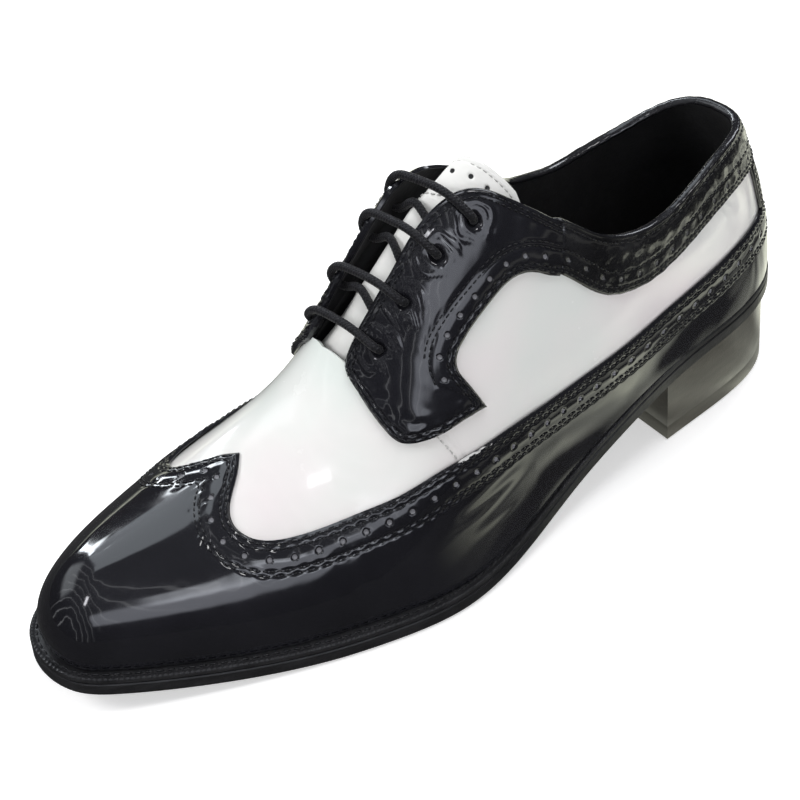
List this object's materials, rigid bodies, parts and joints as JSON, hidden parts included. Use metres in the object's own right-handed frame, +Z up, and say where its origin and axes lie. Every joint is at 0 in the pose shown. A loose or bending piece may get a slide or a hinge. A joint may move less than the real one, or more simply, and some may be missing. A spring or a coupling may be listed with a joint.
{
  "type": "spectator shoe",
  "caption": "Left two-colour lace-up dress shoe: dark patent wing, facings and collar over a pale patent upper, with welted sole and block heel.",
  "frame": {"origin": "centre of the bounding box in plan, on the floor that the shoe stands on", "axes": "+Z up; +Y from the toe to the heel; +X to the outer (lateral) side of this left shoe"},
  "size_m": [0.1098, 0.3, 0.1267],
  "materials": {
    "white_patent": "gloss",
    "black_patent": "gloss",
    "dark_edge": "satin",
    "heel_stack": "satin",
    "sock_lining": "matte",
    "waxed_lace": "waxed"
  },
  "bodies": {
    "root": {"outsole": "dark_edge", "welt": "dark_edge", "heel": "heel_stack", "insole": "sock_lining", "upper": "white_patent", "tongue": "white_patent", "wing_cap": "black_patent", "facing_lateral": "black_patent", "facing_medial": "black_patent", "collar_band": "black_patent", "back_strip": "black_patent", "lace": "waxed_lace"}
  },
  "joints": []
}
